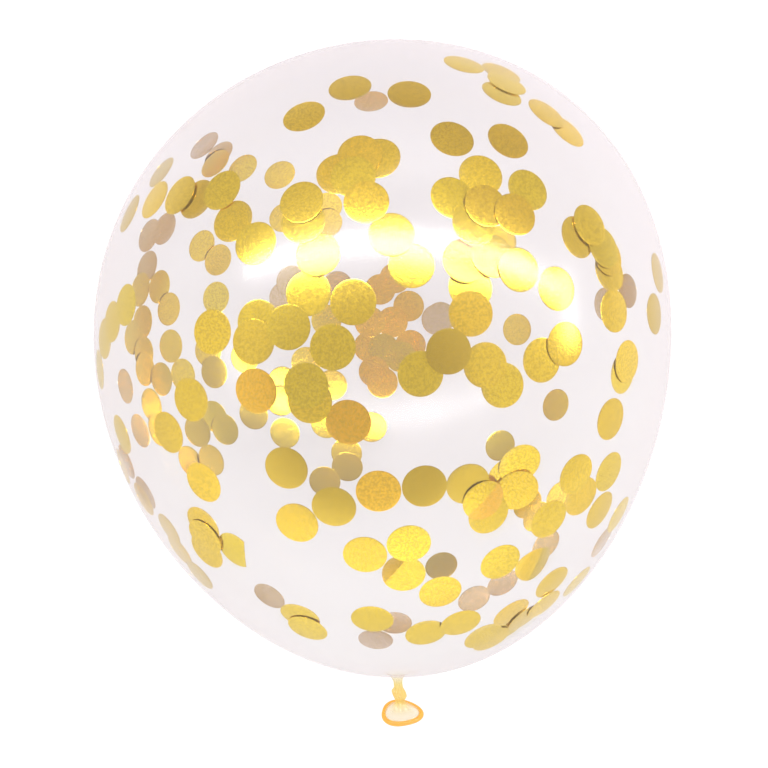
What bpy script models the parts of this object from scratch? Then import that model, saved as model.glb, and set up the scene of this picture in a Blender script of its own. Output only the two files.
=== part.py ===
"""A knotted latex party balloon, lying on its side.

The balloon is one piece of latex: a bulb, a pleated neck, the knot tied in it, and a mouth that
flares to a rolled lip. It is blown up and sealed, so it is one solid. It lies along Y with its crown
towards +Y and its mouth towards -Y, on a small flat spot, and its lip droops towards the floor.
"""

import math

import bmesh
import bpy
from mathutils import Vector

# Bulb
BULB_WIDTH = 0.300
BULB_LENGTH = 0.331
CROWN_FULLNESS = 0.08  # how much wider the crown's half is than the neck's, as a share
BULB_BOW = 0.0075  # how far the crown and the neck's foot stand to +X of the middle
FLAT_SPOT_WIDTH = 0.036

# Neck, in four stretches from the bulb to the lip, measured along its own line
FOOT_LENGTH = 0.0065
WAIST_LENGTH = 0.0010
KNOT_LENGTH = 0.0090
MOUTH_LENGTH = 0.0068
FOOT_WIDTH = 0.016
NECK_WIDTH = 0.0042
KNOT_WIDTH = 0.0066
NECK_SWING = 0.0026  # how far the lip's middle stands to +X of the foot
LIP_DROOP = math.radians(22.0)

# Knot's turn, a band of the neck passed round itself
TURN_HEIGHT = 0.0006
TURN_WIDTH = 0.0024
TURN_SLOPE = 0.55

# Pleats, where the stretched neck gathers
PLEATS = 7
PLEAT_DEPTH = 0.13
PLEAT_TWIST = math.radians(150.0)

# Mouth, a thin skirt that ends in a rolled lip
LIP_WIDTH = 0.0223
LIP_ROLL = 0.0023
LIP_CORNERS = 0.07  # how far the lip is from round, towards three soft corners
CORNER_ANGLE = math.radians(10.0)
SKIRT_WALL = 0.0005

# Facets
SIDES = 8 * PLEATS
BULB_RINGS = 32
FOOT_RINGS = 5
KNOT_RINGS = 15
SKIRT_RINGS = 6
LIP_RINGS = 9
BELLY_CUTS = 3  # how finely the facets round the flat spot are divided

NECK_LENGTH = FOOT_LENGTH + WAIST_LENGTH + KNOT_LENGTH + MOUTH_LENGTH
KNOT_START = FOOT_LENGTH + WAIST_LENGTH
KNOT_END = KNOT_START + KNOT_LENGTH

LATEX_COLOUR = (0.93, 0.88, 0.87, 1.0)


def clear_scene():
    for old in list(bpy.data.objects):
        bpy.data.objects.remove(old)


def bulb_radius(along):
    """The bulb's egg curve. along runs from 1 at the crown to -1 at the neck's foot."""
    half_circle = math.sqrt(max(0.0, 1.0 - along * along))
    widest = 1.0 + CROWN_FULLNESS**2 / 2
    return BULB_WIDTH / 2 * half_circle * (1.0 + CROWN_FULLNESS * along) / widest


def bulb_centre(along):
    return Vector((BULB_BOW * along * along, BULB_LENGTH / 2 * along, 0.0))


def foot_angle():
    """The angle from the crown at which the bulb is as narrow as the neck's foot."""
    near, far = math.pi / 2, math.pi
    for _ in range(50):
        middle = (near + far) / 2
        if bulb_radius(math.cos(middle)) > FOOT_WIDTH / 2:
            near = middle
        else:
            far = middle
    return near


def bulb_rings():
    """Rings of points from just under the crown to the neck's foot."""
    rings = []
    last = foot_angle()
    for index in range(1, BULB_RINGS + 1):
        along = math.cos(last * index / BULB_RINGS)
        centre = bulb_centre(along)
        radius = bulb_radius(along)
        ring = []
        for side in range(SIDES):
            angle = math.tau * side / SIDES
            ring.append(centre + Vector((radius * math.cos(angle), 0.0, radius * math.sin(angle))))
        rings.append(ring)
    return rings


def neck_centre(distance):
    """A point on the neck's line, an arc from the bulb's foot down towards the floor."""
    half_bend = LIP_DROOP * distance / NECK_LENGTH / 2
    chord = distance
    if half_bend:
        chord = distance * math.sin(half_bend) / half_bend
    swing = NECK_SWING * distance / NECK_LENGTH
    foot = bulb_centre(math.cos(foot_angle()))
    return foot + Vector((swing, -chord * math.cos(half_bend), -chord * math.sin(half_bend)))


def neck_point(distance, angle, radius):
    """A point round the neck's line. angle runs from +X over the top."""
    bend = LIP_DROOP * distance / NECK_LENGTH
    across = Vector((1.0, 0.0, 0.0)) * radius * math.cos(angle)
    upward = Vector((0.0, -math.sin(bend), math.cos(bend))) * radius * math.sin(angle)
    return neck_centre(distance) + across + upward


def neck_radius(distance):
    """The gathered neck's radius, with the swelling of the knot."""
    share = min(1.0, max(0.0, (distance - KNOT_START) / KNOT_LENGTH))
    return (NECK_WIDTH + (KNOT_WIDTH - NECK_WIDTH) * math.sin(math.pi * share) ** 2) / 2


def turn_height(distance, angle):
    """How far the knot's turn stands out. It runs round the knot at a slope."""
    middle = KNOT_START + KNOT_LENGTH / 2 + TURN_SLOPE * KNOT_WIDTH / 2 * math.cos(angle)
    off = (distance - middle) / (TURN_WIDTH / 2)
    return TURN_HEIGHT * math.exp(-off * off)


def gathered(distance, angle, radius, depth):
    """A radius with pleats of the given depth, which twist along the neck."""
    twist = PLEAT_TWIST * distance / NECK_LENGTH
    return radius * (1.0 + depth * math.cos(PLEATS * angle + twist))


def lip_shape(distance, angle):
    """The lip's outline against a circle. It fades in over the mouth."""
    share = min(1.0, max(0.0, (distance - KNOT_END) / MOUTH_LENGTH))
    return 1.0 + LIP_CORNERS * share * math.cos(3 * (angle - CORNER_ANGLE))


def foot_profile():
    """(distance, radius, pleat depth) rows of the trumpet from the bulb to the neck."""
    rows = []
    for index in range(1, FOOT_RINGS + 1):
        turn = math.pi / 2 * index / FOOT_RINGS
        distance = FOOT_LENGTH * (1.0 - math.cos(turn))
        radius = NECK_WIDTH / 2 + (FOOT_WIDTH - NECK_WIDTH) / 2 * (1.0 - math.sin(turn))
        rows.append((distance, radius, PLEAT_DEPTH * index / FOOT_RINGS))
    return rows


def knot_profile():
    rows = []
    for index in range(1, KNOT_RINGS + 1):
        distance = FOOT_LENGTH + (KNOT_END - FOOT_LENGTH) * index / KNOT_RINGS
        rows.append((distance, neck_radius(distance), PLEAT_DEPTH))
    return rows


def skirt_line(share):
    """The middle of the skirt's wall, from the knot's end to the middle of the lip's roll."""
    last = (LIP_WIDTH - LIP_ROLL) / 2
    radius = NECK_WIDTH / 2 + (last - NECK_WIDTH / 2) * share**1.5
    return Vector((KNOT_END + MOUTH_LENGTH * share, radius))


def skirt_slope(share):
    """The skirt's direction at a share of its line, as a unit vector."""
    step = 0.001
    return (skirt_line(share) - skirt_line(share - step)).normalized()


def skirt_profile(side):
    """The skirt's surface on one side of its wall: 1 for the bulb's side, -1 for the mouth's."""
    rows = []
    for index in range(1, SKIRT_RINGS + 1):
        share = index / (SKIRT_RINGS + 1)
        slope = skirt_slope(share)
        outward = Vector((-slope.y, slope.x))
        place = skirt_line(share) + outward * side * SKIRT_WALL / 2
        rows.append((place.x, place.y, PLEAT_DEPTH * (1.0 - share)))
    return rows


def lip_profile():
    """The rolled lip's round section, from the skirt's outside round to its inside."""
    rows = []
    middle = skirt_line(1.0)
    slope = skirt_slope(1.0)
    back = math.atan2(-slope.y, -slope.x)
    opening = math.asin(min(1.0, SKIRT_WALL / LIP_ROLL))
    for index in range(LIP_RINGS):
        turn = back - opening - (math.tau - 2 * opening) * index / (LIP_RINGS - 1)
        place = middle + Vector((math.cos(turn), math.sin(turn))) * LIP_ROLL / 2
        rows.append((place.x, place.y, 0.0))
    return rows


def neck_rings():
    """Rings from the neck's foot over the knot and the lip to the inside of the mouth."""
    profile = foot_profile() + knot_profile() + skirt_profile(1) + lip_profile() + skirt_profile(-1)[::-1]
    rings = []
    for distance, radius, depth in profile:
        ring = []
        for side in range(SIDES):
            angle = math.tau * side / SIDES
            full = gathered(distance, angle, radius, depth) * lip_shape(distance, angle)
            ring.append(neck_point(distance, angle, full + turn_height(distance, angle)))
        rings.append(ring)
    return rings


def loft(mesh, rings, first_point, last_point):
    """Joins the rings into one closed skin with a point at each end."""
    rows = [[mesh.verts.new(point) for point in ring] for ring in rings]
    first = mesh.verts.new(first_point)
    last = mesh.verts.new(last_point)
    for side in range(SIDES):
        after = (side + 1) % SIDES
        mesh.faces.new((first, rows[0][side], rows[0][after]))
        mesh.faces.new((last, rows[-1][after], rows[-1][side]))
        for near, far in zip(rows, rows[1:]):
            mesh.faces.new((near[side], far[side], far[after], near[after]))


def on_bulb(point):
    """The point of the bulb's true surface that lies straight out from its line."""
    along = point.y / (BULB_LENGTH / 2)
    centre = bulb_centre(along)
    outward = Vector((point.x - centre.x, 0.0, point.z - centre.z)).normalized()
    return centre + outward * bulb_radius(along)


def refine_belly(mesh):
    """Divides the facets round the flat spot, so that its rim comes out round."""
    lowest = min(mesh.verts, key=lambda vertex: vertex.co.z).co.copy()
    reach = FLAT_SPOT_WIDTH / 2 + BULB_LENGTH / BULB_RINGS * 2
    near = [edge for edge in mesh.edges if all((end.co - lowest).length < reach for end in edge.verts)]
    divided = bmesh.ops.subdivide_edges(mesh, edges=near, cuts=BELLY_CUTS, use_grid_fill=True)
    for item in divided["geom_inner"]:
        if isinstance(item, bmesh.types.BMVert):
            item.co = on_bulb(item.co)


def cut_flat_spot(mesh):
    """Slices the belly's underside flat, so that the balloon lies still."""
    belly = BULB_WIDTH / 2
    depth = belly - math.sqrt(belly**2 - (FLAT_SPOT_WIDTH / 2) ** 2)
    lowest = min(vertex.co.z for vertex in mesh.verts)
    cut = bmesh.ops.bisect_plane(
        mesh,
        geom=mesh.verts[:] + mesh.edges[:] + mesh.faces[:],
        plane_co=(0.0, 0.0, lowest + depth),
        plane_no=(0.0, 0.0, -1.0),
        clear_outer=True,
    )
    rim = [item for item in cut["geom_cut"] if isinstance(item, bmesh.types.BMEdge)]
    bmesh.ops.edgeloop_fill(mesh, edges=rim)


def latex_material():
    material = bpy.data.materials.new("clear_latex")
    material.use_nodes = True
    shader = material.node_tree.nodes["Principled BSDF"]
    shader.inputs["Base Color"].default_value = LATEX_COLOUR
    shader.inputs["Roughness"].default_value = 0.15
    shader.inputs["Metallic"].default_value = 0.0
    shader.inputs["Alpha"].default_value = 0.3
    return material


def make_balloon():
    mesh = bmesh.new()
    rings = bulb_rings() + neck_rings()
    blind_end = neck_point(KNOT_END + SKIRT_WALL, 0.0, 0.0)
    loft(mesh, rings, bulb_centre(1.0), blind_end)
    refine_belly(mesh)
    cut_flat_spot(mesh)
    bmesh.ops.recalc_face_normals(mesh, faces=mesh.faces[:])
    data = bpy.data.meshes.new("balloon")
    mesh.to_mesh(data)
    mesh.free()
    data.shade_smooth()
    data.set_sharp_from_angle(angle=math.radians(50.0))
    data.materials.append(latex_material())
    balloon = bpy.data.objects.new("balloon", data)
    bpy.context.scene.collection.objects.link(balloon)
    return balloon


def set_down(balloon):
    """Puts the middle of the balloon's underside at the world's origin."""
    corners = [Vector(corner) for corner in balloon.bound_box]
    low = Vector(min(corner[axis] for corner in corners) for axis in range(3))
    high = Vector(max(corner[axis] for corner in corners) for axis in range(3))
    balloon.location = Vector((-(low.x + high.x) / 2, -(low.y + high.y) / 2, -low.z))


def main():
    clear_scene()
    balloon = make_balloon()
    set_down(balloon)


main()
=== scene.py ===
"""The looks of a knotted clear latex balloon with round gold foil confetti inside.

The latex follows the same named sizes as its CAD solid, with finer facets. The confetti clings to
the inside of the bulb. A place on the bulb is (turn, rise) in degrees: turn runs round the bulb's
line from the top of the lying balloon towards +X, and rise from the middle of its length towards
the crown.
"""

import math
import random
from collections import namedtuple

import bmesh
import bpy
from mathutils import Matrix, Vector


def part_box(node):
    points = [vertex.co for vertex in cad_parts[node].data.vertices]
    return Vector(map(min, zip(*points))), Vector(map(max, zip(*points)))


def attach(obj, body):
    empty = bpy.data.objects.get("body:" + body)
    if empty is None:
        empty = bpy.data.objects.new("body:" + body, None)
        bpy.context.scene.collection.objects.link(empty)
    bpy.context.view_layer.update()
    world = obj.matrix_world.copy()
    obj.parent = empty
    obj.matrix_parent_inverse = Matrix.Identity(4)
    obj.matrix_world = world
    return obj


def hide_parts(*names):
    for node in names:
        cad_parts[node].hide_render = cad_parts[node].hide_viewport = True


# Bulb, with the sizes of the CAD part
BULB_WIDTH = 0.300
BULB_LENGTH = 0.331
CROWN_FULLNESS = 0.08
BULB_BOW = 0.0075
FLAT_SPOT_WIDTH = 0.036

# Neck, in four stretches from the bulb to the lip
FOOT_LENGTH = 0.0065
WAIST_LENGTH = 0.0010
KNOT_LENGTH = 0.0090
MOUTH_LENGTH = 0.0068
FOOT_WIDTH = 0.016
NECK_WIDTH = 0.0042
KNOT_WIDTH = 0.0066
NECK_SWING = 0.0026
LIP_DROOP = math.radians(22.0)
TURN_HEIGHT = 0.0006
TURN_WIDTH = 0.0024
TURN_SLOPE = 0.55
PLEATS = 7
PLEAT_DEPTH = 0.13
PLEAT_TWIST = math.radians(150.0)
LIP_WIDTH = 0.0223
LIP_ROLL = 0.0023
LIP_CORNERS = 0.07
CORNER_ANGLE = math.radians(10.0)
CORNER_COUNT = 3
SKIRT_WALL = 0.0005
SKIRT_FLARE = 1.5  # a plain cone has 1, and a larger value opens later
NECK_LENGTH = FOOT_LENGTH + WAIST_LENGTH + KNOT_LENGTH + MOUTH_LENGTH
KNOT_START = FOOT_LENGTH + WAIST_LENGTH
KNOT_END = KNOT_START + KNOT_LENGTH
FLOOR_LEVEL = -math.sqrt((BULB_WIDTH / 2) ** 2 - (FLAT_SPOT_WIDTH / 2) ** 2)  # from the bulb's middle

# How thick the latex is, from 0 on the stretched bulb to 1 in the lip's roll
NECK_LATEX = 0.45
KNOT_EXTRA_LATEX = 0.15
SKIRT_LATEX = 0.1
SKIRT_EDGE_LATEX = 0.4  # more than that, beside the lip
MOUTH_LATEX = 0.5  # where the knot closes the mouth

# Facets
BULB_SIDES = 144
BULB_RINGS = 96
NECK_SIDES = 16 * PLEATS
FOOT_RINGS = 12
KNOT_RINGS = 40
SKIRT_RINGS = 14
LIP_RINGS = 20
HALVINGS = 50  # of the stretch in which the bulb's foot is looked for

# Camera, over the lying balloon and looking straight down
CAMERA_PLACE = (0.0007, 0.0012, 0.869)
LENS = 63.65  # mm
SENSOR = 36.0  # mm

# Confetti
DISC_WIDTH = 0.0197
FOIL = 0.00012  # thickness
DISC_SIDES = 40
DISC_RINGS = 4  # inside the cut edge
EDGE_RINGS = 2
EDGE_WIDTH = 0.0006  # of the rim that the cutting has turned in
EDGE_DROP = 0.000045
FILM_GAP = 0.0002  # between the latex and the middle of the nearest foil
STACK_GAP = 0.0006  # between the middles of two foils that overlap
FLOOR_STACK_GAP = 0.0003  # the same on the floor side
CLING = 0.7  # how much of the wall's curve a disc takes up
LOOSE_TILT = math.radians(2.5)
LOOSE_BEND = 3.5  # the most that a disc bends by chance, as a curvature in radians a metre
CURL_BEND = 30.0
SETTLE_STEPS = 60
TOUCHING = 1e-6  # a gap that counts as none
PROBE_REACHES = (0.5, 1.0)  # shares of a disc's radius at which it is kept clear of the others
PROBES_ROUND = 16
UNDERSIDE = -0.5  # a spot that faces outwards with a lower Z may lie over the flat belly
SHARP_ANGLE = math.radians(12.0)  # between facets of foil that are shaded apart

# The discs' places were read as if from straight over the origin, and move with the camera
READING_SHIFT = Vector((CAMERA_PLACE[0], CAMERA_PLACE[1], 0.0))

# How a disc looks, where it isn't plain gold. Olive and bronze are painted shade, and orange is a
# painted reflection of warm light
SHADED_OLIVE = "olive"
SHADED_BRONZE = "bronze"
AMBER = "amber"
ORANGE = "orange"
MAUVE = "mauve"
CURLED = "curled"

# What each disc passes on to its material: tint turns its lemon gold to orange, shade darkens it
# as painted shade, for the darker surroundings that a disc mirrors, and dull turns it mauve
LOOKS = ("tint", "shade", "dull")

# The range that each of them is drawn from, first for every disc and then again for some looks
PLAIN_RANGES = {"tint": (0.2, 0.5), "shade": (0.0, 0.7)}
LOOK_RANGES = {
    # Painted shade: olive and bronze darken the gold of discs that mirror darker surroundings
    SHADED_OLIVE: {"tint": (0.1, 0.3), "shade": (0.6, 0.9)},
    SHADED_BRONZE: {"tint": (0.15, 0.3), "shade": (1.5, 1.7)},
    AMBER: {"tint": (0.6, 0.75), "shade": (0.0, 0.0)},
    # Painted reflection of warm light, under some painted shade
    ORANGE: {"tint": (0.85, 1.0), "shade": (0.4, 0.6)},
    MAUVE: {"dull": (0.75, 1.0)},
}

WHITE = (1.0, 1.0, 1.0, 1.0)

# Latex. Clear is the light that it lets straight through, and milk is what scatters the rest
MOUTHWARD_CLEAR = (0.974, 0.974, 0.974, 1.0)
CROWNWARD_CLEAR = (0.876, 0.864, 0.876, 1.0)
NECK_CLEAR = (0.99, 0.91, 0.62, 1.0)
LIP_CLEAR = (1.0, 0.75, 0.35, 1.0)
FILM_MILK = (0.72, 0.64, 0.67, 1.0)
NECK_MILK = (0.88, 0.76, 0.38, 1.0)
LIP_MILK = (0.95, 0.62, 0.22, 1.0)
MILK_THROWN_BACK = 0.1  # the share of the milk's light that comes out on the side it went in
FILM_DENSITY = 0.17  # of the milk
RIM_DENSITY = 0.2  # more than that, where the film is seen edge on
RIM_DENSITY_POWER = 3.0
UNEVEN_DENSITY = 0.06
UNEVEN_SCALE = 14.0
UNEVEN_DETAIL = 4.0
THICK_DENSITY = 0.55
LATEX_ROUGHNESS = 0.19
LATEX_MIRROR = 0.022
RIM_MIRROR = 0.12  # more than that, where the film is seen edge on
RIM_MIRROR_POWER = 5.0

# Foil
LEMON_GOLD = (0.92, 0.76, 0.012, 1.0)
ORANGE_GOLD = (0.98, 0.52, 0.01, 1.0)
# The darker gold of painted shade, for discs that mirror darker surroundings
SHADED_GOLD = (0.55, 0.37, 0.01, 1.0)
MAUVE_GOLD = (0.76, 0.61, 0.49, 1.0)
WORN_GOLD = (0.50, 0.35, 0.01, 1.0)
PAINTED_SHADE_STRENGTH = 0.5  # how much of the painted shade's darker gold a shade of 1 takes on
WEAR = 0.5  # how much of the worn gold a speckle takes on
MOTTLE_SCALE = 650.0
MOTTLE_DETAIL = 3.0
MOTTLE_RANGE = (0.3, 0.7)
SPECKLE_SCALE = 1050.0
SPECKLE_DETAIL = 2.0
SPECKLE_RANGE = (0.44, 0.58)
FOIL_ROUGHNESS = (0.15, 0.25)
BUMP_STRENGTH = 0.5
BUMP_HEIGHT = 0.0001
COAT = {"Coat Weight": 0.8, "Coat Roughness": 0.22, "Coat IOR": 1.5}

# Floor. Each glow says between which places along Y it changes, and from what brightness to what
FLOOR_REACH = 6.0
FLOOR_WHITE = (0.2, 0.2, 0.2, 1.0)
MOUTHWARD_GLOW = ((-0.9, -0.3), (0.35, 0.0))
CROWNWARD_GLOW = ((0.27, 0.7), (0.8, 0.3))

# Room. Each pair says how far a direction points one way, at two ends, and how bright it is there
PATCH_WAY = Vector((-0.10, -0.38, 0.92)).normalized()
PATCH_EDGES = (43.0, 33.0)  # degrees from the patch's middle
PATCH_BRIGHTNESS = (1.0, 0.57)
ROOM_CROWNWARD = ((-1.0, 1.0), (1.42, 0.32))
ROOM_MOUTHWARD = ((-0.95, -0.5), (0.5, 0.0))
ROOM_RIGHTWARD = ((-1.0, 1.0), (1.18, 0.90))
SPILL_WAY = Vector((0.0, 0.75, 0.66))
SPILL = ((0.79, 0.985), (0.0, 0.25))

# Lamps: place, the point that each one faces, size, and how bright its face looks, where 1 is white
LAMPS = {
    "strip": ((0.66, 0.58, 1.20), (0.66, 0.0, 0.15), (3.98, 0.14), 31.0),
    "side_strip": ((2.38, 0.35, 0.92), (0.0, 0.0, 0.15), (0.8, 0.26), 16.0),
}

# Confetti at the front of the photograph, the outermost disc of each patch first
FRONT = {
    "upper_left": [
        (-32, 26), (-43, 26), (-38, 25), (-22.5, 16.5), (-28, 20.5), (-15, 23), (-14.3, 19.8), (-51.5, 26),
        (-62, 24.5, SHADED_BRONZE),
    ],
    "crown": [
        (-19, 40), (-10.5, 47), (4, 45), (12.5, 34.7), (24.7, 35), (22, 56),
        (32.5, 50.5), (35, 55), (28.5, 47), (39.5, 43), (43.5, 39.2),
    ],
    "upper_middle": [
        (-3.5, 22.8), (-6.2, 27.3), (-9, 28), (-5.5, 31.5), (-2, 31), (1, 17.5), (-11.2, 14.5), (4.4, 12.7),
    ],
    "upper_right": [
        (23.2, 21.3), (17.8, 22.6), (15.3, 19.5), (11.7, 23.8), (17.5, 28), (26.7, 25.8),
        (23, 12.4), (18.5, 14.5), (13.4, 13.6),
    ],
    "middle_left": [
        (-5, 7.2), (-15.7, 3.6, SHADED_OLIVE), (-12.5, 8.6), (-8.3, 0.6, SHADED_OLIVE), (-22, 1.5), (-21.2, 4.4),
        (-21.9, -5.8, ORANGE), (-29.9, 3.1), (-35.6, -7.2), (-12.9, -5, SHADED_OLIVE), (-12.5, -7.3),
        (-6.1, -10.5, ORANGE),
    ],
    "left": [
        (-43, -12.5), (-53.2, 8, SHADED_OLIVE), (-59.3, 5.5, SHADED_OLIVE), (-64, 2.8, SHADED_OLIVE), (-69.5, -2.3, SHADED_OLIVE),
        (-61.8, -13.3, SHADED_OLIVE),
    ],
    "middle_right": [
        (10.6, 0, SHADED_BRONZE), (6, -3.3, SHADED_OLIVE), (14.3, 5.6), (14.4, 9.5), (17, -2), (20.3, -5), (32.2, 1.3),
        (27.6, -1.2), (30.4, 9.7),
    ],
    "right": [
        (40, 20.5), (43, 17), (44, 15.8), (44.3, 6.7), (44.2, 13.2), (36.5, 18.3),
        (48.7, -1.2), (48, -3), (45.7, -10.4), (64, 14, SHADED_BRONZE), (59.7, 6.8, SHADED_BRONZE),
    ],
    "chain": [
        (18.9, -23.3, CURLED), (20.7, -26), (15.3, -20.4, SHADED_BRONZE), (7, -20.5, SHADED_BRONZE), (-1.4, -21.3, AMBER),
        (-10, -24, SHADED_BRONZE), (-18, -17.7, SHADED_BRONZE),
    ],
    "lower_right": [
        (26, -22), (25.6, -17.5), (24, -19.8), (34.8, -27), (39, -19.3), (49.3, -19.3), (42.6, -23.4),
        (51, -26.3), (63, -28), (25.4, -34.8), (35.5, -36, CURLED), (50, -47), (46, -50.5), (46, -41),
        (36.8, -48), (32, -55), (38, -57), (62, -42.5), (42.5, -54),
    ],
    "lower_left": [(-18, -27), (-37, -20.6), (-43.5, -31), (-42.3, -28.6), (-46, -34), (-35.9, -33.2)],
    "lower_middle": [
        (-5, -32.7), (4.2, -30.6), (3.1, -36.8), (12, -40.8), (-5.7, -47.7), (-27.4, -51.6), (-27.5, -48.3),
        (20, -49.4), (10, -52.2),
    ],
}

# Confetti on the floor side and round the left rim, seen through the balloon
BACK = {
    "back_left_upper": [
        (-108, 46, MAUVE), (-118, 45, MAUVE), (-119, 43), (-131, 43), (-145, 42.6), (-96, 37.6),
        (-113, 27, MAUVE), (-107.5, 25, MAUVE), (-128.6, 24.5), (-134.7, 21.8), (-151, 32.5),
        (-168, 65, MAUVE), (-162.5, 35.5), (-163.4, 31.6), (148.7, 26.8, SHADED_OLIVE),
    ],
    "back_left": [
        (-111, 18.6, MAUVE), (-110, 14), (-112.4, 7.5), (-108.7, 4.4), (-113, 1.3), (-113, -1.8),
        (-119, -3.8, SHADED_BRONZE), (-117.3, 15), (-121.6, 10.6), (-123, 3), (-126.5, -2.9), (-103.7, -5.2, MAUVE),
        (-114, -9, SHADED_OLIVE), (-114.5, -14, SHADED_OLIVE), (-106.5, -14, MAUVE), (-136, 13.6), (-134.5, 2.2),
        (-136, -2.3, SHADED_BRONZE), (-134.4, -11.7, SHADED_OLIVE), (-137, -14.5, SHADED_OLIVE), (-128.3, -14.7, SHADED_BRONZE),
        (-123, -21, SHADED_BRONZE), (-130.3, -21, SHADED_BRONZE),
    ],
    "back_middle": [
        (-146, -11.3, SHADED_BRONZE), (-153.8, -15.6, SHADED_OLIVE), (-154.6, 14.3, MAUVE), (-156, 18, MAUVE),
        (-154.6, -4.3), (-153.6, -8.4), (-144.8, 1), (-168, 17, MAUVE), (-165.7, 9.4), (-178.8, 16.4, AMBER),
        (177.5, 19, AMBER), (174, 12.6, AMBER), (178, 9, AMBER), (166, 10, MAUVE), (167, 9.5, MAUVE),
        (-176.5, 9, AMBER), (-176.4, 3.5, AMBER), (-179.9, 3, SHADED_OLIVE), (173.5, 3.8, AMBER),
        (-177.6, -2, AMBER), (-179.6, -4.5, AMBER), (176, 1.3, SHADED_OLIVE), (-167, -5, SHADED_OLIVE), (-160.7, 0),
        (-165, -13.5), (-176.6, -14.4), (-169.7, -20.3), (-169.5, -23.5, SHADED_BRONZE), (-162.7, -26.8, SHADED_BRONZE),
    ],
    "back_right": [
        (149, -18.3, SHADED_OLIVE), (146.3, 7), (134.3, -9.2), (110, 13.7, MAUVE), (119.3, 11.4, MAUVE),
        (126.5, -28.8), (137, -31), (132, -33.9), (124, -40, MAUVE), (134, -51, MAUVE), (143, -56.5, MAUVE),
        (161.5, -47.8), (93, -36.5, MAUVE),
    ],
    "back_lower": [
        (180, -66, MAUVE), (-165, -72.5, MAUVE), (-124, -54, MAUVE), (-95, -26, MAUVE), (-91, -19.5, MAUVE),
        (-83, -20), (-90, -27), (-97, -34), (-93, -38.5), (-92, -44.5),
    ],
}

# A crease: its heading in degrees from sideways to crownward, its reach from the disc's middle as a
# share of the radius, the foil's turn past it, inwards in degrees, and the foil's looks there
Crease = namedtuple("Crease", "heading reach turn looks")

# The creased discs, by their places. The looks past a crease are painted light: the darker
# flaps are painted shade, and the orange flap is a painted reflection of warm light
CREASES = {
    (3.1, -36.8): Crease(145.0, 0.42, 20.0, {"tint": 0.8, "shade": 0.7}),
    (-35.9, -33.2): Crease(-22.0, 0.55, 172.0, {}),
    (18.9, -23.3): Crease(-38.0, -0.1, 12.0, {"tint": 1.0, "shade": 0.5}),
    (35.5, -36): Crease(0.0, 0.1, 4.0, {"tint": 0.1, "shade": 1.5}),
}

SEED = 42  # of every disc's own random draws


def bulb_radius(along):
    """The bulb's egg curve. along runs from 1 at the crown to -1 at the neck's foot."""
    half_circle = math.sqrt(max(0.0, 1.0 - along * along))
    widest = 1.0 + CROWN_FULLNESS**2 / 2
    return BULB_WIDTH / 2 * half_circle * (1.0 + CROWN_FULLNESS * along) / widest


def bulb_centre(along):
    return Vector((BULB_BOW * along * along, BULB_LENGTH / 2 * along, 0.0))


def foot_angle():
    """The angle from the crown at which the bulb is as narrow as the neck's foot."""
    near, far = math.pi / 2, math.pi
    for _ in range(HALVINGS):
        middle = (near + far) / 2
        if bulb_radius(math.cos(middle)) > FOOT_WIDTH / 2:
            near = middle
        else:
            far = middle
    return near


def bulb_rings():
    rings = []
    last = foot_angle()
    for index in range(1, BULB_RINGS + 1):
        along = math.cos(last * index / BULB_RINGS)
        centre = bulb_centre(along)
        radius = bulb_radius(along)
        ring = []
        for side in range(BULB_SIDES):
            angle = math.tau * side / BULB_SIDES
            ring.append(centre + Vector((radius * math.cos(angle), 0.0, radius * math.sin(angle))))
        rings.append(ring)
    return rings


def neck_centre(distance):
    """A point on the neck's line, an arc from the bulb's foot down towards the floor."""
    half_bend = LIP_DROOP * distance / NECK_LENGTH / 2
    chord = distance
    if half_bend:
        chord = distance * math.sin(half_bend) / half_bend
    swing = NECK_SWING * distance / NECK_LENGTH
    foot = bulb_centre(math.cos(foot_angle()))
    return foot + Vector((swing, -chord * math.cos(half_bend), -chord * math.sin(half_bend)))


def neck_point(distance, angle, radius):
    """A point round the neck's line. angle runs from +X over the top."""
    bend = LIP_DROOP * distance / NECK_LENGTH
    across = Vector((1.0, 0.0, 0.0)) * radius * math.cos(angle)
    upward = Vector((0.0, -math.sin(bend), math.cos(bend))) * radius * math.sin(angle)
    return neck_centre(distance) + across + upward


def neck_radius(distance):
    """The radius of the neck, which swells and shrinks again along the knot."""
    share = min(1.0, max(0.0, (distance - KNOT_START) / KNOT_LENGTH))
    return (NECK_WIDTH + (KNOT_WIDTH - NECK_WIDTH) * math.sin(math.pi * share) ** 2) / 2


def turn_height(distance, angle):
    """How far the knot's turn stands out. It runs round the knot at a slope."""
    middle = KNOT_START + KNOT_LENGTH / 2 + TURN_SLOPE * KNOT_WIDTH / 2 * math.cos(angle)
    off = (distance - middle) / (TURN_WIDTH / 2)
    return TURN_HEIGHT * math.exp(-off * off)


def gathered(distance, angle, radius, depth):
    """A radius with the pleats, which twist on their way along the neck."""
    twist = PLEAT_TWIST * distance / NECK_LENGTH
    return radius * (1.0 + depth * math.cos(PLEATS * angle + twist))


def lip_shape(distance, angle):
    """The share by which the mouth's soft corners widen or narrow it."""
    share = min(1.0, max(0.0, (distance - KNOT_END) / MOUTH_LENGTH))
    return 1.0 + LIP_CORNERS * share * math.cos(CORNER_COUNT * (angle - CORNER_ANGLE))


def skirt_line(share):
    """The middle of the skirt's wall, from the knot's end to the middle of the lip's roll."""
    last = (LIP_WIDTH - LIP_ROLL) / 2
    radius = NECK_WIDTH / 2 + (last - NECK_WIDTH / 2) * share**SKIRT_FLARE
    return Vector((KNOT_END + MOUTH_LENGTH * share, radius))


def skirt_slope(share):
    step = 0.001
    return (skirt_line(share) - skirt_line(share - step)).normalized()


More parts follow.
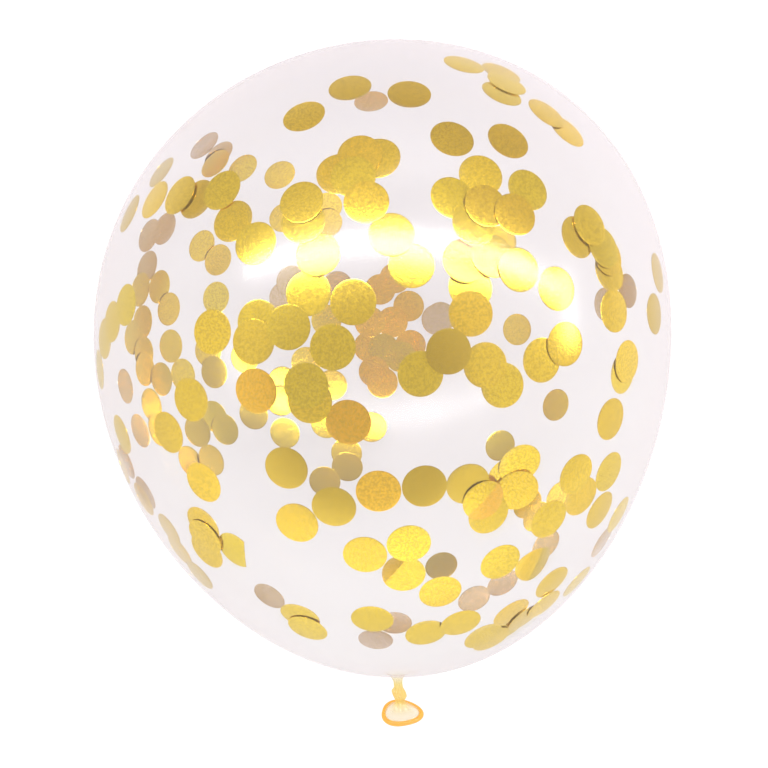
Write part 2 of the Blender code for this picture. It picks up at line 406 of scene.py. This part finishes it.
def foot_profile():
    """(distance, radius, pleat depth, thickness) rows of the trumpet from the bulb to the neck."""
    rows = []
    for index in range(FOOT_RINGS + 1):
        turn = math.pi / 2 * index / FOOT_RINGS
        distance = FOOT_LENGTH * (1.0 - math.cos(turn))
        radius = NECK_WIDTH / 2 + (FOOT_WIDTH - NECK_WIDTH) / 2 * (1.0 - math.sin(turn))
        share = index / FOOT_RINGS
        rows.append((distance, radius, PLEAT_DEPTH * share, NECK_LATEX * share**2))
    return rows


def knot_profile():
    """The same rows along the waist and the knot."""
    rows = []
    for index in range(1, KNOT_RINGS + 1):
        distance = FOOT_LENGTH + (KNOT_END - FOOT_LENGTH) * index / KNOT_RINGS
        share = index / KNOT_RINGS
        thickness = NECK_LATEX + KNOT_EXTRA_LATEX * math.sin(math.pi * share) ** 2
        rows.append((distance, neck_radius(distance), PLEAT_DEPTH, thickness))
    return rows


def skirt_profile(side):
    """The skirt's surface on one side of its wall: 1 for the bulb's side, -1 for the mouth's."""
    rows = []
    for index in range(1, SKIRT_RINGS + 1):
        share = index / (SKIRT_RINGS + 1)
        slope = skirt_slope(share)
        outward = Vector((-slope.y, slope.x))
        place = skirt_line(share) + outward * side * SKIRT_WALL / 2
        stretched = NECK_LATEX * (1.0 - share) ** 1.5 + SKIRT_LATEX * share
        thickness = stretched + SKIRT_EDGE_LATEX * share**16
        rows.append((place.x, place.y, PLEAT_DEPTH * (1.0 - share), thickness))
    return rows


def lip_profile():
    """The rolled lip's round section, from the skirt's outside round to its inside."""
    rows = []
    middle = skirt_line(1.0)
    slope = skirt_slope(1.0)
    back = math.atan2(-slope.y, -slope.x)
    opening = math.asin(min(1.0, SKIRT_WALL / LIP_ROLL))
    for index in range(LIP_RINGS):
        turn = back - opening - (math.tau - 2 * opening) * index / (LIP_RINGS - 1)
        place = middle + Vector((math.cos(turn), math.sin(turn))) * LIP_ROLL / 2
        rows.append((place.x, place.y, 0.0, 1.0))
    return rows


def neck_rings():
    """Rings from the neck's foot over the knot and the lip to the inside of the mouth."""
    profile = foot_profile() + knot_profile() + skirt_profile(1) + lip_profile() + skirt_profile(-1)[::-1]
    rings = []
    thicknesses = []
    for distance, radius, depth, thickness in profile:
        ring = []
        for side in range(NECK_SIDES):
            angle = math.tau * side / NECK_SIDES
            full = gathered(distance, angle, radius, depth) * lip_shape(distance, angle)
            ring.append(neck_point(distance, angle, full + turn_height(distance, angle)))
        rings.append(ring)
        thicknesses.append(thickness)
    return rings, thicknesses


def loft(mesh, rings, values, layer):
    """Joins rings of points into a skin, and returns its rows of vertices."""
    rows = []
    for ring, value in zip(rings, values):
        row = [mesh.verts.new(point) for point in ring]
        for vertex in row:
            vertex[layer] = value
        rows.append(row)
    sides = len(rings[0])
    for near, far in zip(rows, rows[1:]):
        for side in range(sides):
            after = (side + 1) % sides
            mesh.faces.new((near[side], far[side], far[after], near[after]))
    return rows


def close_end(mesh, row, point, value, layer):
    """Closes a loft's end ring with a fan to one point."""
    tip = mesh.verts.new(point)
    tip[layer] = value
    for side in range(len(row)):
        mesh.faces.new((tip, row[side], row[(side + 1) % len(row)]))


def flatten_belly(mesh):
    """Presses the belly's underside flat, as the floor does."""
    for vertex in mesh.verts:
        vertex.co.z = max(vertex.co.z, FLOOR_LEVEL)


def finished_object(mesh, name, material, sharp_angle=None):
    """Turns a finished mesh into a smooth object in the scene."""
    bmesh.ops.recalc_face_normals(mesh, faces=mesh.faces[:])
    data = bpy.data.meshes.new(name)
    mesh.to_mesh(data)
    mesh.free()
    data.shade_smooth()
    if sharp_angle:
        data.set_sharp_from_angle(angle=sharp_angle)
    data.materials.append(material)
    piece = bpy.data.objects.new(name, data)
    bpy.context.scene.collection.objects.link(piece)
    return piece


def make_film(material):
    """The stretched film of the bulb, from the crown to the neck's foot."""
    mesh = bmesh.new()
    layer = mesh.verts.layers.float.new("thickness")
    rings = bulb_rings()
    rows = loft(mesh, rings, [0.0] * len(rings), layer)
    close_end(mesh, rows[0], bulb_centre(1.0), 0.0, layer)
    flatten_belly(mesh)
    return finished_object(mesh, "balloon_film", material)


def make_neck(material):
    """The neck, the knot, the skirt and the rolled lip, in one skin."""
    mesh = bmesh.new()
    layer = mesh.verts.layers.float.new("thickness")
    rings, thicknesses = neck_rings()
    rows = loft(mesh, rings, thicknesses, layer)
    close_end(mesh, rows[-1], neck_point(KNOT_END + SKIRT_WALL, 0.0, 0.0), MOUTH_LATEX, layer)
    return finished_object(mesh, "balloon_neck", material)


def wall(turn, rise):
    """The point of the bulb's wall at a place, pressed flat under the belly."""
    along = math.sin(math.radians(rise))
    radius = bulb_radius(along)
    angle = math.radians(turn)
    point = bulb_centre(along) + Vector((radius * math.sin(angle), 0.0, radius * math.cos(angle)))
    point.z = max(point.z, FLOOR_LEVEL)
    return point


def place_of(point):
    """The place whose wall point lies straight out from the bulb's line through this point."""
    along = point.y / (BULB_LENGTH / 2)
    across = point.x - bulb_centre(along).x
    return math.degrees(math.atan2(across, point.z)), math.degrees(math.asin(along))


class Spot:
    """A disc's spot on the bulb's wall, with its outward, sideways and crownward directions."""

    def __init__(self, turn, rise):
        turn, rise = place_of(wall(turn, rise) + READING_SHIFT)
        step = 0.01  # degrees
        self.point = wall(turn, rise)
        self.side = (wall(turn + step, rise) - self.point).normalized()
        crownward = wall(turn, rise + step) - self.point
        self.out = self.side.cross(crownward).normalized()
        if self.out.dot(self.point) < 0:
            self.out = -self.out
        self.up = self.out.cross(self.side)

    def over(self, across, up):
        """A point of the plane that touches the wall at this spot."""
        return self.point + self.side * across + self.up * up

    def across(self, point):
        """Where a point lies over this spot, as distances sideways and crownward."""
        offset = point - self.point
        return offset.dot(self.side), offset.dot(self.up)


class Disc:
    """One foil disc. depth is how far its middle lies inside the plane that touches the wall, and lean
    is how it slopes to that plane.
    """

    def __init__(self, turn, rise, look):
        chance = random.Random(f"{SEED} {turn} {rise}")
        self.spot = Spot(turn, rise)
        self.stack_gap = STACK_GAP if self.spot.out.z > 0 else FLOOR_STACK_GAP
        self.depth = FILM_GAP + (1.0 - CLING) * (DISC_WIDTH / 2) ** 2 / BULB_WIDTH
        tilt = math.tan(LOOSE_TILT) * chance.random()
        heading = chance.uniform(0.0, math.tau)
        self.lean = [tilt * math.cos(heading), tilt * math.sin(heading)]
        self.bend = LOOSE_BEND * chance.random()
        self.bend_heading = chance.uniform(0.0, math.pi)
        self.dull = 0.0
        for ranges in (PLAIN_RANGES, LOOK_RANGES.get(look, {})):
            for name, (low, high) in ranges.items():
                setattr(self, name, chance.uniform(low, high))
        self.crease = CREASES.get((turn, rise))
        if look == CURLED:
            self.bend = CURL_BEND

    def depth_at(self, across, up):
        """How far the foil lies inside the plane. It follows the wall's curve and bends one way."""
        along_bend = across * math.cos(self.bend_heading) + up * math.sin(self.bend_heading)
        curve = CLING * (across**2 + up**2) / BULB_WIDTH + self.bend * along_bend**2 / 2
        past_edge = max(0.0, math.hypot(across, up) - DISC_WIDTH / 2 + EDGE_WIDTH) / EDGE_WIDTH
        turned_in = EDGE_DROP * past_edge**2
        return self.depth + self.lean[0] * across + self.lean[1] * up + curve + turned_in

    def past_crease(self, across, up):
        """How far a point of the flat disc lies past its crease, and the crease's heading."""
        if not self.crease:
            return 0.0, Vector((1.0, 0.0))
        heading = math.radians(self.crease.heading)
        way = Vector((math.cos(heading), math.sin(heading)))
        return way.dot((across, up)) - self.crease.reach * DISC_WIDTH / 2, way

    def surface(self, across, up, lift=0.0):
        """Where a point of the flat disc lies on the creased and laid one. lift is outwards."""
        past, way = self.past_crease(across, up)
        if past > 0.0:
            turn = math.radians(self.crease.turn)
            moved = past * math.cos(turn) + lift * math.sin(turn) - past
            lift = lift * math.cos(turn) - past * math.sin(turn)
            across += moved * way.x
            up += moved * way.y
        return self.spot.over(across, up) + self.spot.out * (lift - self.depth_at(across, up))

    def probes(self):
        """Points over the disc at which it's kept clear of the wall and of other discs."""
        yield 0.0, 0.0
        for reach in PROBE_REACHES:
            for step in range(PROBES_ROUND):
                angle = math.tau * step / PROBES_ROUND
                yield reach * DISC_WIDTH / 2 * math.cos(angle), reach * DISC_WIDTH / 2 * math.sin(angle)

    def needed_depth(self, across, up, near):
        """How deep the foil has to lie at a point, inside the wall and the discs already there."""
        point = self.spot.over(across, up)
        need = FILM_GAP + (across**2 + up**2) / BULB_WIDTH
        if self.spot.out.z < UNDERSIDE:
            need = max(need, (FLOOR_LEVEL + FILM_GAP - point.z) / -self.spot.out.z)
        for disc in near:
            theirs = disc.spot.across(point)
            if math.hypot(*theirs) < DISC_WIDTH / 2:
                lifted = disc.surface(*theirs) - disc.spot.out * self.stack_gap
                need = max(need, (point - lifted).dot(self.spot.out))
        return need

    def settle(self, laid):
        """Lowers and tilts the disc until it lies inside the discs that it overlaps."""
        radius = DISC_WIDTH / 2
        near = [disc for disc in laid if (disc.spot.point - self.spot.point).length < 2 * radius]
        needs = [(across, up, self.needed_depth(across, up, near)) for across, up in self.probes()]
        for _ in range(SETTLE_STEPS):
            short, across, up = max((need - self.depth_at(a, u), a, u) for a, u, need in needs)
            if short < TOUCHING:
                break
            share = (across**2 + up**2) / radius**2
            self.depth += short / (1.0 + share)
            self.lean[0] += short * across / radius**2 / (1.0 + share)
            self.lean[1] += short * up / radius**2 / (1.0 + share)

    def add_face(self, mesh, lift):
        """Adds one face of the foil, still flat, and returns its vertices, the rim's last."""
        flat = DISC_WIDTH / 2 - EDGE_WIDTH
        reaches = [flat * ring / DISC_RINGS for ring in range(1, DISC_RINGS + 1)]
        reaches += [flat + EDGE_WIDTH * ring / EDGE_RINGS for ring in range(1, EDGE_RINGS + 1)]
        centre = mesh.verts.new((0.0, 0.0, lift))
        rings = []
        for reach in reaches:
            angles = [math.tau * side / DISC_SIDES for side in range(DISC_SIDES)]
            rings.append([mesh.verts.new((reach * math.cos(a), reach * math.sin(a), lift)) for a in angles])
        for side in range(DISC_SIDES):
            after = (side + 1) % DISC_SIDES
            mesh.faces.new((centre, rings[0][side], rings[0][after]))
            for near, far in zip(rings, rings[1:]):
                mesh.faces.new((near[side], far[side], far[after], near[after]))
        return [centre] + [vertex for ring in rings for vertex in ring]

    def cut_crease(self, mesh, vertices):
        """Cuts the flat disc's facets along its crease, and returns the new vertices."""
        way = self.past_crease(0.0, 0.0)[1].to_3d()
        edges = list(dict.fromkeys(edge for vertex in vertices for edge in vertex.link_edges))
        faces = list(dict.fromkeys(face for vertex in vertices for face in vertex.link_faces))
        middle = way * self.crease.reach * DISC_WIDTH / 2
        made = bmesh.ops.bisect_plane(
            mesh, geom=vertices + edges + faces, dist=TOUCHING, plane_co=middle, plane_no=way
        )
        old = set(vertices)
        return [item for item in made["geom_cut"] if isinstance(item, bmesh.types.BMVert) and item not in old]

    def look_at(self, name, across, up):
        """One of the LOOKS at a point of the flat disc."""
        if self.past_crease(across, up)[0] > 0.0:
            return self.crease.looks.get(name, getattr(self, name))
        return getattr(self, name)

    def add_to(self, mesh, layers):
        """Adds the disc as a thin closed solid: made flat, then creased and laid on the wall."""
        outside = self.add_face(mesh, FOIL / 2)
        inside = self.add_face(mesh, -FOIL / 2)
        front, back = outside[-DISC_SIDES:], inside[-DISC_SIDES:]
        for side in range(DISC_SIDES):
            after = (side + 1) % DISC_SIDES
            mesh.faces.new((front[side], back[side], back[after], front[after]))
        vertices = outside + inside
        if self.crease:
            vertices += self.cut_crease(mesh, vertices)
        for vertex in vertices:
            across, up, lift = vertex.co
            vertex.co = self.surface(across, up, lift)
            for name, layer in layers.items():
                vertex[layer] = self.look_at(name, across, up)


def make_confetti(name, places, laid, material):
    """One piece for each named patch of confetti."""
    mesh = bmesh.new()
    for look_name in LOOKS:
        mesh.verts.layers.float.new(look_name)
    layers = {look_name: mesh.verts.layers.float[look_name] for look_name in LOOKS}
    for turn, rise, *look in places:
        disc = Disc(turn, rise, look[0] if look else None)
        disc.settle(laid)
        laid.append(disc)
        disc.add_to(mesh, layers)
    return finished_object(mesh, "confetti_" + name, material, SHARP_ANGLE)


class Nodes:
    """Adds shader nodes to one node tree and joins them."""

    def __init__(self, tree):
        self.tree = tree
        self.tree.nodes.clear()

    def add(self, kind, inputs=None, **settings):
        node = self.tree.nodes.new("ShaderNode" + kind)
        for name, value in settings.items():
            setattr(node, name, value)
        for name, value in (inputs or {}).items():
            if isinstance(value, bpy.types.NodeSocket):
                self.tree.links.new(value, node.inputs[name])
            else:
                node.inputs[name].default_value = value
        return node

    def attribute(self, name):
        return self.add("Attribute", attribute_name=name).outputs["Fac"]

    def math(self, operation, first, second):
        return self.add("Math", {0: first, 1: second}, operation=operation).outputs[0]

    def share_along(self, way, direction):
        """How far one vector goes along another."""
        return self.add("VectorMath", {0: way, 1: direction}, operation="DOT_PRODUCT").outputs["Value"]

    def ramp(self, value, span, results=(0.0, 1.0)):
        """Goes from the first result to the second one while the value crosses its span."""
        inputs = {0: value, 1: span[0], 2: span[1], 3: results[0], 4: results[1]}
        return self.add("MapRange", inputs).outputs[0]

    def blend(self, share, first, second):
        """A mix of two colours."""
        node = self.add("Mix", {0: share, 6: first, 7: second}, data_type="RGBA")
        return node.outputs[2]

    def mix(self, share, first, second):
        """A mix of two shaders."""
        return self.add("MixShader", {0: share, 1: first, 2: second}).outputs[0]

    def noise(self, scale, detail, roughness=0.5):
        place = self.add("TexCoord").outputs["Object"]
        inputs = {"Vector": place, "Scale": scale, "Detail": detail, "Roughness": roughness}
        return self.add("TexNoise", inputs).outputs["Fac"]


def new_material(name):
    material = bpy.data.materials.new(name)
    material.use_nodes = True
    return material, Nodes(material.node_tree)


def latex_material():
    """Stretched latex: clear and faintly milky where it is thin, amber where it is thick."""
    material, nodes = new_material("clear_latex")
    thickness = nodes.attribute("thickness")
    facing = nodes.add("LayerWeight", {"Blend": 0.5}).outputs["Facing"]
    place = nodes.add("TexCoord").outputs["Object"]
    along = nodes.add("SeparateXYZ", {0: place}).outputs["Y"]
    crown_share = nodes.ramp(along, (-BULB_LENGTH / 2, BULB_LENGTH / 2))
    film_clear = nodes.blend(crown_share, MOUTHWARD_CLEAR, CROWNWARD_CLEAR)
    yellowing = nodes.ramp(thickness, (0.0, NECK_LATEX))
    ambering = nodes.ramp(thickness, (NECK_LATEX, 1.0))
    clear = nodes.blend(yellowing, film_clear, nodes.blend(ambering, NECK_CLEAR, LIP_CLEAR))
    milk = nodes.blend(yellowing, FILM_MILK, nodes.blend(ambering, NECK_MILK, LIP_MILK))
    through = nodes.add("BsdfTransparent", {"Color": clear}).outputs[0]
    lit_behind = nodes.add("BsdfTranslucent", {"Color": milk}).outputs[0]
    lit_front = nodes.add("BsdfDiffuse", {"Color": milk}).outputs[0]
    milky = nodes.mix(MILK_THROWN_BACK, lit_behind, lit_front)
    rim = nodes.math("MULTIPLY", nodes.math("POWER", facing, RIM_DENSITY_POWER), RIM_DENSITY)
    uneven = nodes.math("MULTIPLY", nodes.noise(UNEVEN_SCALE, UNEVEN_DETAIL), UNEVEN_DENSITY)
    thin = nodes.math("ADD", nodes.math("ADD", FILM_DENSITY, rim), uneven)
    density = nodes.math("ADD", thin, nodes.math("MULTIPLY", thickness, THICK_DENSITY))
    body = nodes.mix(density, through, milky)
    shine = nodes.add("BsdfGlossy", {"Color": WHITE, "Roughness": LATEX_ROUGHNESS}).outputs[0]
    rim_mirror = nodes.math("MULTIPLY", nodes.math("POWER", facing, RIM_MIRROR_POWER), RIM_MIRROR)
    surface = nodes.mix(nodes.math("ADD", LATEX_MIRROR, rim_mirror), body, shine)
    nodes.add("OutputMaterial", {"Surface": surface})
    return material


def foil_material():
    """Gold metallised film, satin, with a fine mottle and worn speckles, under a clear coat, and darkened
    disc by disc with painted shade.
    """
    material, nodes = new_material("gold_foil")
    mottle = nodes.noise(MOTTLE_SCALE, MOTTLE_DETAIL)
    speckle = nodes.ramp(nodes.noise(SPECKLE_SCALE, SPECKLE_DETAIL), SPECKLE_RANGE)
    gold = nodes.blend(nodes.attribute("tint"), LEMON_GOLD, ORANGE_GOLD)
    # Painted shade: each disc's shade darkens its gold towards the darker gold
    in_painted_shade = nodes.blend(nodes.math("MULTIPLY", nodes.attribute("shade"), PAINTED_SHADE_STRENGTH), gold, SHADED_GOLD)
    duller = nodes.blend(nodes.attribute("dull"), in_painted_shade, MAUVE_GOLD)
    worn = nodes.blend(nodes.math("MULTIPLY", speckle, WEAR), duller, WORN_GOLD)
    roughness = nodes.ramp(mottle, MOTTLE_RANGE, FOIL_ROUGHNESS)
    relief = {"Strength": BUMP_STRENGTH, "Distance": BUMP_HEIGHT, "Height": mottle}
    bump = nodes.add("Bump", relief).outputs[0]
    inputs = {"Base Color": worn, "Metallic": 1.0, "Roughness": roughness, "Normal": bump, **COAT}
    shader = nodes.add("BsdfPrincipled", inputs).outputs[0]
    nodes.add("OutputMaterial", {"Surface": shader})
    return material


def floor_material():
    """A plain white table, lit from within so that shadows on it stay faint."""
    material, nodes = new_material("pale_floor")
    place = nodes.add("TexCoord").outputs["Object"]
    top = nodes.add("BsdfDiffuse", {"Color": FLOOR_WHITE}).outputs[0]
    along = nodes.add("SeparateXYZ", {0: place}).outputs["Y"]
    lit = nodes.math("ADD", nodes.ramp(along, *MOUTHWARD_GLOW), nodes.ramp(along, *CROWNWARD_GLOW))
    glow = nodes.add("Emission", {"Color": WHITE, "Strength": lit}).outputs[0]
    shader = nodes.add("AddShader", {0: top, 1: glow}).outputs[0]
    nodes.add("OutputMaterial", {"Surface": shader})
    return material


def make_floor():
    data = bpy.data.meshes.new("floor")
    sides = ((-1, -1), (1, -1), (1, 1), (-1, 1))
    corners = [(x * FLOOR_REACH, y * FLOOR_REACH, 0.0) for x, y in sides]
    data.from_pydata(corners, [], [(0, 1, 2, 3)])
    data.materials.append(floor_material())
    floor = bpy.data.objects.new("floor", data)
    bpy.context.scene.collection.objects.link(floor)


def make_room():
    """A white room with a darker patch overhead, on the mouth's side of the balloon."""
    world = bpy.data.worlds.new("room")
    bpy.context.scene.world = world
    world.use_nodes = True
    nodes = Nodes(world.node_tree)
    way = nodes.add("TexCoord").outputs["Generated"]
    edges = [math.cos(math.radians(degrees)) for degrees in PATCH_EDGES]
    overhead = nodes.ramp(nodes.share_along(way, PATCH_WAY), edges, PATCH_BRIGHTNESS)
    split = nodes.add("SeparateXYZ", {0: way})
    crownward = nodes.ramp(split.outputs["Y"], *ROOM_CROWNWARD)
    mouthward = nodes.ramp(split.outputs["Y"], *ROOM_MOUTHWARD)
    rightward = nodes.ramp(split.outputs["X"], *ROOM_RIGHTWARD)
    around = nodes.math("MULTIPLY", nodes.math("ADD", crownward, mouthward), rightward)
    spill = nodes.ramp(nodes.share_along(way, SPILL_WAY), *SPILL)
    strength = nodes.math("ADD", nodes.math("MULTIPLY", overhead, around), spill)
    room = nodes.add("Background", {"Color": WHITE, "Strength": strength}).outputs[0]
    nodes.add("OutputWorld", {"Surface": room})


def make_softbox(name, place, aim, size, brightness):
    """A rectangular lamp. brightness is how bright its face looks, where 1 is white."""
    data = bpy.data.lights.new(name, "AREA")
    data.shape = "RECTANGLE"
    data.size, data.size_y = size
    data.energy = brightness * math.pi * size[0] * size[1]
    lamp = bpy.data.objects.new(name, data)
    bpy.context.scene.collection.objects.link(lamp)
    lamp.location = place
    lamp.rotation_euler = (Vector(aim) - Vector(place)).to_track_quat("-Z", "Y").to_euler()


def make_camera():
    data = bpy.data.cameras.new("camera")
    data.lens = LENS
    data.sensor_width = SENSOR
    camera = bpy.data.objects.new("camera", data)
    bpy.context.scene.collection.objects.link(camera)
    camera.location = CAMERA_PLACE
    bpy.context.scene.camera = camera


def seat_of(film, low, high):
    """Where the bulb's middle stands, so that the film fills the CAD solid's box."""
    corners = [Vector(corner) for corner in film.bound_box]
    least = Vector(min(corner[axis] for corner in corners) for axis in range(3))
    # The neck's end is the box's lowest Y, and the film's highest Y is the crown.
    most = Vector(max(corner[axis] for corner in corners) for axis in range(3))
    return Vector(((low.x + high.x - least.x - most.x) / 2, high.y - most.y, low.z - least.z))


def dress_balloon():
    """Makes the latex and the confetti and seats them on the CAD solid."""
    latex = latex_material()
    foil = foil_material()
    film = make_film(latex)
    neck = make_neck(latex)
    laid = []
    confetti = []
    for name, places in {**FRONT, **BACK}.items():
        confetti.append(make_confetti(name, places, laid, foil))
    seat = seat_of(film, *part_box("balloon"))
    for piece in [film, neck] + confetti:
        piece.location = seat
        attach(piece, "root")
    for piece in (film, neck):
        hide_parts("balloon")


def make_studio():
    make_floor()
    make_room()
    for name, lamp in LAMPS.items():
        make_softbox(name, *lamp)
    make_camera()
    bpy.context.scene.view_settings.view_transform = "Standard"


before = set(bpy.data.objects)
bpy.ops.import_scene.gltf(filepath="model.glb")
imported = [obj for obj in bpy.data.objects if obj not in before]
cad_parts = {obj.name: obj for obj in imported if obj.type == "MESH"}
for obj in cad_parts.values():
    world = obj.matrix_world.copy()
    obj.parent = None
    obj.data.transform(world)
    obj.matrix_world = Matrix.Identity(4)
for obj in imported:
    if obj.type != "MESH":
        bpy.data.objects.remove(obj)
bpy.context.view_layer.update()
dress_balloon()
make_studio()
